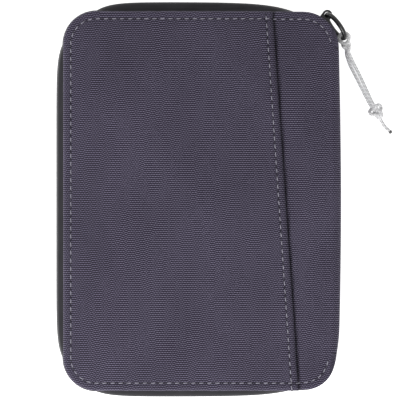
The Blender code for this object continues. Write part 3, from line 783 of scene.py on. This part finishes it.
def evenly(points, pitch):
    """Places and directions one pitch apart along a line of 2D points."""
    placed = []
    target = pitch / 2
    walked = 0.0
    for (ax, ay), (bx, by) in zip(points, points[1:]):
        span = math.hypot(bx - ax, by - ay)
        while walked + span >= target:
            share = (target - walked) / span
            placed.append(((ax + (bx - ax) * share, ay + (by - ay) * share),
                           ((bx - ax) / span, (by - ay) / span)))
            target += pitch
        walked += span
    return placed


def arc(centre_x, centre_y, radius, start, end, steps=24):
    angles = [start + (end - start) * i / steps for i in range(steps + 1)]
    return [(centre_x + radius * math.cos(a), centre_y + radius * math.sin(a)) for a in angles]


def corner_turns(short):
    """Start and end angle of each corner; the first starts and the last ends short of the spine."""
    quarter = math.pi / 2
    turns = [[k * quarter, (k + 1) * quarter] for k in range(4)]
    turns[0][0] = short
    turns[3][1] -= short
    return turns


def seam_line(inset):
    """The perimeter seam, round three sides and both spine corners."""
    line = []
    for (x, y, radius), turn in zip(CORNERS, corner_turns(SEAM_END_ANGLE)):
        line += arc(x, y, radius - inset, *turn)
    return line


def beside(surface, place, direction, forwards, sideways=0.0):
    """A point of a surface, so far along and across a line from a place on it."""
    (x, y), (dx, dy) = place, direction
    return Vector(surface(x + dx * forwards - dy * sideways, y + dy * forwards + dx * sideways)[0])


def stitch_row(name, line, surface, face_up, material, hole_material):
    """Stitches along a line on a surface, with dark caps of painted shade at the needle holes between
    them.
    """
    up = Vector((0.0, 0.0, face_up))
    stitches, holes = [], []
    half = STITCH_LENGTH / 2
    slant = math.sin(STITCH_SLANT) * half
    for place, direction in evenly(line, STITCH_PITCH):
        start = beside(surface, place, direction, -half, -slant)
        end = beside(surface, place, direction, half, slant)
        centre = beside(surface, place, direction, 0.0) + 0.3 * THREAD * up
        stitches.append(placement_from(centre, end - start, up, (half, THREAD * 1.15, THREAD)))
        for side in (-1, 1):
            spot = beside(surface, place, direction, side * (half + HOLE_GAP), side * slant)
            holes.append(placement_from(spot + HOLE_LIFT * up, (*direction, 0.0), up, NEEDLE_HOLE))
    template = capsule_template()
    return (stamp(name + "_stitches", template, stitches, material),
            stamp(name + "_needle_holes", template, holes, hole_material))


# ---------------------------------------------------------------- covers


def bend_front(piece):
    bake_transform(piece)


def bend_back(piece):
    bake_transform(piece)


def build_covers(materials):
    ends = [side * (SPINE_CORNER_Y - fold) for side in (-1, 1) for fold in (0.0, SPINE_END_FOLD)]
    rows = sorted([*clustered(-HALF_LENGTH, HALF_LENGTH, 190), *ends])
    for name, outer_face, surface, flip, bend, nodes in (
            ("front_cover_cloth", PANEL_TOP, front_surface, False, bend_front, ["front_panel"]),
            ("back_cover_cloth", 0.0, back_surface, True, bend_back, ["back_panel", "spine_panel"])):
        cover = cloth_grid(name, rows, (120, 40), lambda y: cover_span(y, outer_face), surface,
                           materials["cover"], FABRIC, flip)
        bend(cover)
        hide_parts(*nodes)
    for name, surface, face_up, bend in (("front_seam", front_outer, 1.0, bend_front),
                                         ("back_seam", back_surface, -1.0, bend_back)):
        for piece in stitch_row(name, seam_line(SEAM_INSET), surface, face_up, materials["thread"],
                                materials["hole"]):
            bend(piece)


def front_outer(x, y):
    """The outermost cloth on the front: the slip pocket where there is one."""
    if x < mouth_x(y):
        return pocket_surface(x, y)
    return front_surface(x, y)


def build_slip_pocket(materials):
    pocket = cloth_grid("slip_pocket_cloth", clustered(-HALF_LENGTH, HALF_LENGTH, 170), (150,),
                        lambda y: (left_edge(y), mouth_x(y)), pocket_surface,
                        materials["cover"], FABRIC)
    attach(pocket, "front_cover", "cover_fabric", "front_slip_pocket")
    end = HALF_LENGTH - 1.0 * MM
    line = [(mouth_x(y) - HEM_INSET, y) for y in np.linspace(end, -end, 80)]
    for piece in stitch_row("pocket_hem", line, pocket_surface, 1.0, materials["thread"],
                            materials["hole"]):
        attach(piece, "front_cover", "cover_fabric")


# ---------------------------------------------------------------- zip

def build_up(distance, rise):
    return 1.0 - math.exp(-max(distance, 0.0) / rise)


def bow_along(distance, length, start, end, middle_bow):
    """The zip's bow on a straight run; start and end are each a corner's bow and its rise."""
    share = distance / length
    corner_bow = start[0] * (1.0 - share) + end[0] * share
    rise = build_up(distance, start[1]) * build_up(length - distance, end[1])
    return corner_bow + (middle_bow - corner_bow) * rise


def corner_stations(centre_x, centre_y, radius, start, end, bow, pitch):
    count = max(2, round(radius * abs(end - start) / pitch))
    stations = []
    for i in range(count):
        angle = start + (end - start) * i / count
        out = (math.cos(angle), math.sin(angle))
        stations.append(((centre_x + radius * out[0], centre_y + radius * out[1]), out, bow))
    return stations


def run_stations(start, end, out, start_corner, end_corner, middle_bow, pitch):
    length = math.dist(start, end)
    count = max(2, round(length / pitch))
    stations = []
    for i in range(count):
        share = i / count
        spot = tuple(a + (b - a) * share for a, b in zip(start, end))
        bow = bow_along(share * length, length, start_corner, end_corner, middle_bow)
        stations.append((spot, out, bow))
    return stations


def zip_stations(end_angle, pitch):
    """Even stations along the zip: place on the fabric edge, outward direction and bow."""
    stations = []
    for k, ((x, y, radius), turn) in enumerate(zip(CORNERS, corner_turns(end_angle))):
        stations += corner_stations(x, y, radius, *turn, CORNER_BOWS[k][0], pitch)
        if k < len(SIDES):
            out, middle_bow = SIDES[k]
            next_x, next_y, next_radius = CORNERS[k + 1]
            start = (x + radius * out[0], y + radius * out[1])
            end = (next_x + next_radius * out[0], next_y + next_radius * out[1])
            stations += run_stations(start, end, out, CORNER_BOWS[k], CORNER_BOWS[k + 1],
                                     middle_bow, pitch)
    return stations


def station_lengths(stations):
    return walked_lengths([Vector((*spot, 0.0)) for spot, _, _ in stations])


def tape_profile(bow, seam_height, coil_height):
    """The tape's section from its seam flange out and round to the coil, as (outward, height)."""
    base = seam_height + math.copysign(FLANGE_DROP, coil_height - seam_height)
    rise = coil_height - base
    flange = [(-5.0 * MM, base), (-2.5 * MM, base), (-1.3 * MM, base + 0.02 * rise)]
    shares = [i / 10 for i in range(11)]
    curve = [(bow * math.sin(t * math.pi / 2) - WALL_INSET * (1 - t), base + rise * (0.05 + 0.95 * t))
             for t in shares]
    return flange + curve


def build_tape(side, seam_height, inwards, material):
    stations = zip_stations(TAPE_END_ANGLE, 1.2 * MM)
    lengths = station_lengths(stations)
    profiles = []
    for (_, _, bow), walked in zip(stations, lengths):
        from_end = min(walked, lengths[-1] - walked)
        gap = TAPE_END_GAP + (TAPE_GAP - TAPE_END_GAP) * ease(from_end, 3.5 * MM, 7.5 * MM)
        profiles.append(tape_profile(bow, seam_height, MID_HEIGHT - inwards * gap))
    vertices, uvs, tones = [], [], []
    for (spot, out, _), profile, walked in zip(stations, profiles, lengths):
        across = 0.0
        last = profile[0]
        for n, z in profile:
            across += math.dist((n, z), last)
            last = (n, z)
            x, y = spot[0] + out[0] * n, spot[1] + out[1] * n
            vertices.append((x - corner_tuck(x, y), y, z))
            uvs.append((walked, across))
            # Painted highlight on the outer millimetre of the tape, strongest along the fore edge.
            painted_highlight = ease(n, profile[-1][0] - 1.0 * MM, profile[-1][0]) * (n > 0)
            tones.append(painted_highlight * (0.15 + 0.6 * abs(out[0])))
    faces = grid_faces(len(stations), len(profiles[0]), inwards < 0)
    tape = new_mesh_object(side + "_tape_cloth", vertices, faces, material)
    set_uv(tape, uvs)
    set_attribute(tape, "tone", tones)
    return thicken(tape, TAPE, offset=1.0)


def tooth_template():
    """One loop of the coil, in the plane across the zip: X outwards, Z up, centred."""
    ring_steps, sides = 14, 6
    half_width, half_height = 0.55 * MM, 1.2 * MM
    vertices, faces = [], []
    for i in range(ring_steps):
        turn = 2 * math.pi * i / ring_steps
        radial = Vector((math.copysign(abs(math.cos(turn)) ** 0.7, math.cos(turn)), 0.0,
                         math.copysign(abs(math.sin(turn)) ** 0.9, math.sin(turn))))
        centre = Vector((half_width * radial.x, 0.0, half_height * radial.z))
        outward = radial.normalized()
        for k in range(sides):
            angle = 2 * math.pi * k / sides
            vertices.append(centre + TOOTH_WIRE * (math.cos(angle) * outward
                                                   + math.sin(angle) * Vector((0.0, 1.0, 0.0))))
    for i in range(ring_steps):
        j = (i + 1) % ring_steps
        for k in range(sides):
            m = (k + 1) % sides
            faces.append((i * sides + k, i * sides + m, j * sides + m, j * sides + k))
    return np.array([tuple(v) for v in vertices]), faces


def build_coil(side, phase, inwards, material):
    """A row of coil loops, half a pitch out of step with the other row and parted near the slider."""
    stations = zip_stations(ZIP_END_ANGLE, TOOTH_PITCH)
    lengths = station_lengths(stations)
    placements = []
    for i in range(len(stations) - 1):
        (ax, ay), (out_ax, out_ay), bow_a = stations[i]
        (bx, by), (out_bx, out_by), bow_b = stations[i + 1]
        x, y = ax + (bx - ax) * phase, ay + (by - ay) * phase
        out = Vector((out_ax + (out_bx - out_ax) * phase, out_ay + (out_by - out_ay) * phase, 0.0))
        out.normalize()
        reach = bow_a + (bow_b - bow_a) * phase - TOOTH_INSET
        parted = PARTED_RISE * (1.0 - ease(lengths[i], PARTED_LENGTH, PARTED_LENGTH + 4 * MM))
        centre = Vector((x, y, MID_HEIGHT - inwards * (TOOTH_RISE + parted))) + out * reach
        centre.x -= corner_tuck(centre.x, centre.y)
        placements.append(placement_from(centre, out, (0.0, 0.0, 1.0), (1.0, 1.0, 1.0)))
    return stamp(side + "_coil_teeth", tooth_template(), placements, material)


def build_zip(materials):
    front_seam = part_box("front_zip_tape")[1][2]
    back_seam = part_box("back_zip_tape")[0][2]
    for side, body, seam, inwards, phase in (("front", "front_cover", front_seam, -1.0, 0.25),
                                             ("back", "back_cover", back_seam, 1.0, 0.75)):
        tape = build_tape(side, seam, inwards, materials["tape"])
        attach(tape, body, "zip_tape", side + "_zip_tape")
        coil = build_coil(side, phase, inwards, materials["coil"])
        attach(coil, body, "zip_coil", side + "_zip_coil")


# ---------------------------------------------------------------- slider, ring and cord

def corner_arc(radius, start, end, steps=10):
    """Points on a circle round the slider's corner, between two angles from the slider."""
    middle = SLIDER_ANGLE
    return arc(SPINE_CORNER_X, SPINE_CORNER_Y, radius, middle + start, middle + end, steps)


def prism(outline, hole, bottom, top):
    """Vertices and faces of an upright plate; hole matches the outline point for point, or is None."""
    count = len(outline)
    loops = [outline] if hole is None else [outline, hole]
    vertices = [(x, y, z) for loop in loops for z in (bottom, top) for x, y in loop]
    faces = []
    for i in range(count):
        j = (i + 1) % count
        faces.append((i, j, count + j, count + i))
        if hole is not None:
            faces.append((2 * count + j, 2 * count + i, 3 * count + i, 3 * count + j))
            faces.append((j, i, 2 * count + i, 2 * count + j))
            faces.append((count + i, count + j, 3 * count + j, 3 * count + i))
    if hole is None:
        faces.append(tuple(range(count))[::-1])
        faces.append(tuple(range(count, 2 * count)))
    return vertices, faces


def lug_outline(pivot, steps=32):
    """The lug round the ring's end: a half round with a square foot, and its round hole."""
    outwards = Vector((math.cos(SLIDER_ANGLE), math.sin(SLIDER_ANGLE)))
    sideways = Vector((-outwards.y, outwards.x))
    foot_depth = math.dist(pivot, (SPINE_CORNER_X, SPINE_CORNER_Y)) - LUG_FOOT
    outline, hole = [], []
    for i in range(steps):
        turn = 2 * math.pi * i / steps
        out, side = math.cos(turn), math.sin(turn)
        reach = LUG_RADIUS
        if out < 0:
            reach = min(foot_depth / -out, LUG_RADIUS / max(abs(side), 1e-6))
        outline.append(pivot + reach * (out * outwards + side * sideways))
        hole.append(pivot + LUG_HOLE * (out * outwards + side * sideways))
    return outline, hole


def build_slider(materials):
    """Two curved plates that hold the coils between them, their post, and the lug for the ring."""
    pivot = Vector(joints["puller_pivot"]["pos_m"])
    behind, ahead = math.radians(-8.0), math.radians(15.0)
    low, high = MID_HEIGHT - SLIDER_HEIGHT / 2, MID_HEIGHT + SLIDER_HEIGHT / 2
    parts = []
    for inner, outer in SLIDER_PLATES:
        outline = corner_arc(outer, behind, ahead) + corner_arc(inner, ahead, behind)
        parts.append(prism(outline, None, low, high))
    post = math.radians(1.2)
    outline = (corner_arc(SLIDER_PLATES[0][0] + 0.2 * MM, -post, post, 4)
               + corner_arc(SLIDER_PLATES[1][1] - 0.2 * MM, post, -post, 4))
    parts.append(prism(outline, None, MID_HEIGHT - 0.22 * MM, MID_HEIGHT + 0.22 * MM))
    parts.append(prism(*lug_outline(Vector(pivot[:2])), MID_HEIGHT - LUG_THICKNESS / 2,
                       MID_HEIGHT + LUG_THICKNESS / 2))
    vertices, faces = [], []
    for part_vertices, part_faces in parts:
        start = len(vertices)
        vertices.extend(part_vertices)
        faces.extend(tuple(start + i for i in face) for face in part_faces)
    slider = new_mesh_object("slider_casting", vertices, faces, materials["metal"])
    bevel = slider.modifiers.new("rounded", "BEVEL")
    bevel.width = 0.28 * MM
    bevel.segments = 4
    bevel.limit_method = "ANGLE"
    bevel.angle_limit = math.radians(40.0)
    apply_modifiers(slider)
    slider.data.shade_smooth()
    attach(slider, "slider", "black_metal", "slider_body")


def ring_frame():
    """The ring's pivot, far end, long direction and short direction."""
    pivot = Vector(joints["puller_pivot"]["pos_m"])
    far_end = Vector(joints["cord_swing"]["pos_m"])
    along = (far_end - pivot).normalized()
    outward = Vector((-along.y, along.x, 0.0))
    across = (math.cos(RING_TILT) * Vector((0.0, 0.0, 1.0)) + math.sin(RING_TILT) * outward)
    return pivot, far_end, along, across


def build_ring(materials):
    pivot, far_end, along, across = ring_frame()
    centre = (pivot + far_end) / 2
    half_length = (far_end - pivot).length / 2
    turns = [2 * math.pi * i / 96 for i in range(96)]
    points = [centre + half_length * math.cos(t) * along + RING_HALF_WIDTH * math.sin(t) * across
              for t in turns]
    ring = tube_mesh("ring_puller", points, lambda angle, length: (RING_WIRE, 1.0), 20,
                     materials["metal"], closed=True)
    attach(ring, "puller", "black_metal", "pull_ring")


def braid_radius(angle, length):
    """Radius and relief of a braid: strands that wind both ways and pass over each other."""
    turn = 2 * math.pi * length / BRAID_LAY
    one = math.cos(BRAID_STRANDS / 2 * (angle + turn))
    other = math.cos(BRAID_STRANDS / 2 * (angle - turn))
    over = 0.5 + 0.5 * math.sin(BRAID_STRANDS / 2 * angle) * math.sin(BRAID_STRANDS / 2 * turn)
    height = max(one - 0.5 * over, other - 0.5 * (1 - over))
    relief = min(1.0, max(0.0, 0.5 + 0.5 * height))
    return CORD_RADIUS - BRAID_RELIEF + 1.4 * BRAID_RELIEF * relief, relief


def cord_route():
    """From inside the lower knot, up to the ring, round it and back down to the tail."""
    _, far_end, along, _ = ring_frame()
    normal = Vector((0.0, 0.0, 1.0)).cross(along)
    reach = RING_WIRE + CORD_RADIUS + LOOP_SLACK
    knot_side = far_end + 0.4 * reach * along
    loop = [knot_side + 0.9 * reach * normal, far_end + reach * normal,
            far_end - 0.6 * reach * along + 0.82 * reach * normal,
            far_end - reach * along,
            far_end - 0.6 * reach * along - 0.82 * reach * normal,
            far_end - reach * normal, knot_side - 0.9 * reach * normal]
    knot = Vector(centre_of("cord_upper_knot"))
    lower = metres([CORD_START] + LOWER_LEG_ROUTE[::-1])
    upper = metres(UPPER_LEG_ROUTE)
    heart = Vector(centre_of("cord_lower_knot"))
    return (lower + [knot + 0.45 * CORD_RADIUS * normal] + loop
            + [knot - 0.45 * CORD_RADIUS * normal] + upper + [heart] + metres(TAIL_ROUTE))


def centre_of(node):
    low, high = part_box(node)
    return [(a + b) / 2 for a, b in zip(low, high)]


def knot_route(centre, sizes, turn):
    """A closed overhand knot, sized to fill the box of the knot's solid."""
    points = []
    for i in range(150):
        t = 2 * math.pi * i / 150
        point = Vector((sizes[0] * (math.sin(t) + 2 * math.sin(2 * t)) / 3,
                        sizes[1] * (math.cos(t) - 2 * math.cos(2 * t)) / 3,
                        sizes[2] * -math.sin(3 * t)))
        points.append(Vector(centre) + Matrix.Rotation(turn, 3, "Z") @ point)
    return points


def build_cord(materials):
    route = smooth_route(cord_route(), 0.14 * MM)
    cord = tube_mesh("braided_cord", route, braid_radius, 32, materials["cord"])
    attach(cord, "pull_cord", "cord", "cord_ring_loop", "cord_upper_leg", "cord_lower_leg",
           "cord_tail")
    for name, node, sizes, turn in (
            ("upper_cord_knot", "cord_upper_knot", (1.35 * MM, 1.8 * MM, 1.05 * MM), 0.35),
            ("lower_cord_knot", "cord_lower_knot", (2.7 * MM, 2.7 * MM, 1.25 * MM), 0.6)):
        knot = tube_mesh(name, knot_route(centre_of(node), sizes, turn), braid_radius, 24,
                         materials["cord"], closed=True)
        attach(knot, "pull_cord", "cord", node)
    tip_points = smooth_route(metres(TIP_ROUTE), 0.12 * MM)
    tip_length = walked_lengths(tip_points)[-1]

    def tip_radius(angle, length):
        melted = 1.0 - ease(length, tip_length - 0.45 * MM, tip_length) * 0.55
        return CORD_RADIUS * 1.06 * melted * (1 + 0.03 * math.sin(3 * angle)), 0.5

    tip = tube_mesh("sealed_cord_end", tip_points, tip_radius, 24, materials["sealed"])
    attach(tip, "pull_cord", "cord", "cord_sealed_tip")


# ---------------------------------------------------------------- inside

def lining_piece(node, body, inwards, inset, right, material, bottom=None, top=None,
                 left=None, crown=0.25 * MM):
    """A lining or pocket cloth on its solid's inner face, seen when the wallet is open."""
    node_low, node_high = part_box(node)
    face = node_high[2] if inwards > 0 else node_low[2]
    low = -HALF_LENGTH + inset if bottom is None else bottom
    high = HALF_LENGTH - inset if top is None else top

    def span(y):
        start = left_edge(y, inset) if left is None else left
        end = min(right, right_edge(y, inset))
        return start, end

    def surface(u, y):
        start, end = span(y)
        edge = min(u - start, end - u, y - low, high - y)
        puff = crown * ease(edge, 0.0, 12 * MM) * (1.0 + 0.5 * wrinkle(u, y, 18 * MM, 3.0))
        rolled = 0.15 * MM * (1.0 - ease(edge, 0.0, 0.8 * MM))
        return (u, y, face + inwards * (puff - rolled)), 1.0

    piece = cloth_grid(node + "_cloth", clustered(low, high, 90), (70,), span, surface,
                       material, LINING_CLOTH, flip=inwards < 0)
    attach(piece, body, "lining", node)
    return surface


def binding(name, points, surface, inwards, body, materials):
    """A folded binding along a pocket's mouth."""
    route = []
    for x, y in points:
        px, py, pz = surface(x, y)[0]
        route.append(Vector((px, py, pz + inwards * 0.1 * MM)))
    piece = tube_mesh(name, route, lambda angle, length: (BINDING_RADIUS, 1.0), 12,
                     materials["binding"])
    attach(piece, body, "lining")


def build_inside(materials):
    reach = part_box("back_lining")[1][0]
    for side, inwards in (("back", 1.0), ("front", -1.0)):
        lining_piece(side + "_lining", side + "_cover", inwards, LINING_INSET, reach,
                     materials["lining"], crown=0.0)
    for name, side, inwards in (("passport_pocket", "back", 1.0), ("document_pocket", "front", -1.0)):
        low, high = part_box(name)
        surface = lining_piece(name, side + "_cover", inwards, POCKET_INSET, high[0],
                               materials["pocket"])
        line = [(high[0], y) for y in np.linspace(low[1] + 0.5 * MM, high[1] - 0.5 * MM, 60)]
        binding(name + "_binding", line, surface, inwards, side + "_cover", materials)
    for name in ("card_pocket_upper", "card_pocket_middle", "card_pocket_lower"):
        low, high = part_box(name)
        surface = lining_piece(name, "front_cover", -1.0, POCKET_INSET, high[0], materials["pocket"],
                               bottom=low[1], top=high[1], left=low[0], crown=0.2 * MM)
        line = [(x, high[1]) for x in np.linspace(low[0] + 0.3 * MM, high[0] - 0.3 * MM, 60)]
        binding(name + "_binding", line, surface, -1.0, "front_cover", materials)


def finish_cad_nodes(materials):
    """Pieces whose solids already have the right shape get their own finish."""
    finishes = {"foam": ("back_foam", "front_foam"),
                "film": ("back_shielding_film", "front_shielding_film"),
                "board": ("spine_stiffener",),
                "lining": ("spine_lining",),
                "metal": ("back_top_stop", "back_bottom_stop", "front_top_stop", "front_bottom_stop")}
    for finish, names in finishes.items():
        for name in names:
            node = frame["nodes"][name]
            if not node.material_slots:
                node.data.materials.append(None)
            for slot in node.material_slots:
                slot.material = materials[finish]


# ---------------------------------------------------------------- studio

def build_studio():
    scene = bpy.context.scene
    scene.view_settings.view_transform = "Standard"
    world = bpy.data.worlds.new("studio")
    world.use_nodes = True
    world.node_tree.nodes["Background"].inputs["Color"].default_value = (1.0, 1.0, 1.0, 1.0)
    world.node_tree.nodes["Background"].inputs["Strength"].default_value = 0.5
    scene.world = world

    bpy.ops.mesh.primitive_plane_add(size=4.0, location=(0.0, 0.0, -0.3 * MM))
    floor = bpy.context.object
    floor.name = "floor"
    paper = Shader("floor_paper")
    grain = paper.noise(paper.object_position(), 300.0, 2.0)
    paper.link(paper.mix(grain, (0.90, 0.90, 0.90, 1.0), (0.94, 0.94, 0.94, 1.0)),
               paper.surface.inputs["Base Color"])
    floor.data.materials.append(paper.finish(Roughness=0.9, Emission_Color=(1.0, 1.0, 1.0, 1.0),
                                             Emission_Strength=0.85))

    def area(name, location, size, power):
        data = bpy.data.lights.new(name, "AREA")
        data.shape = "DISK"
        data.size = size
        data.energy = power
        light = bpy.data.objects.new(name, data)
        light.location = location
        light.rotation_euler = (-Vector(location)).to_track_quat("-Z", "Y").to_euler()
        scene.collection.objects.link(light)

    area("key_light", (-0.12, -0.34, 0.42), 0.35, 2.3)
    area("fill_light", (-0.7, 0.1, 0.45), 0.6, 1.6)

    camera_data = bpy.data.cameras.new("camera")
    camera_data.sensor_width = 36.0
    distance = CAMERA_HEIGHT - TOP
    camera_data.lens = camera_data.sensor_width * distance / VIEW_WIDTH
    camera = bpy.data.objects.new("camera", camera_data)
    camera.location = (*VIEW_CENTRE, CAMERA_HEIGHT)
    scene.collection.objects.link(camera)
    scene.camera = camera


build_studio()
materials = make_materials()
build_cord(materials)
build_covers(materials)
build_slip_pocket(materials)
build_zip(materials)
build_slider(materials)
build_ring(materials)
build_inside(materials)
finish_cad_nodes(materials)
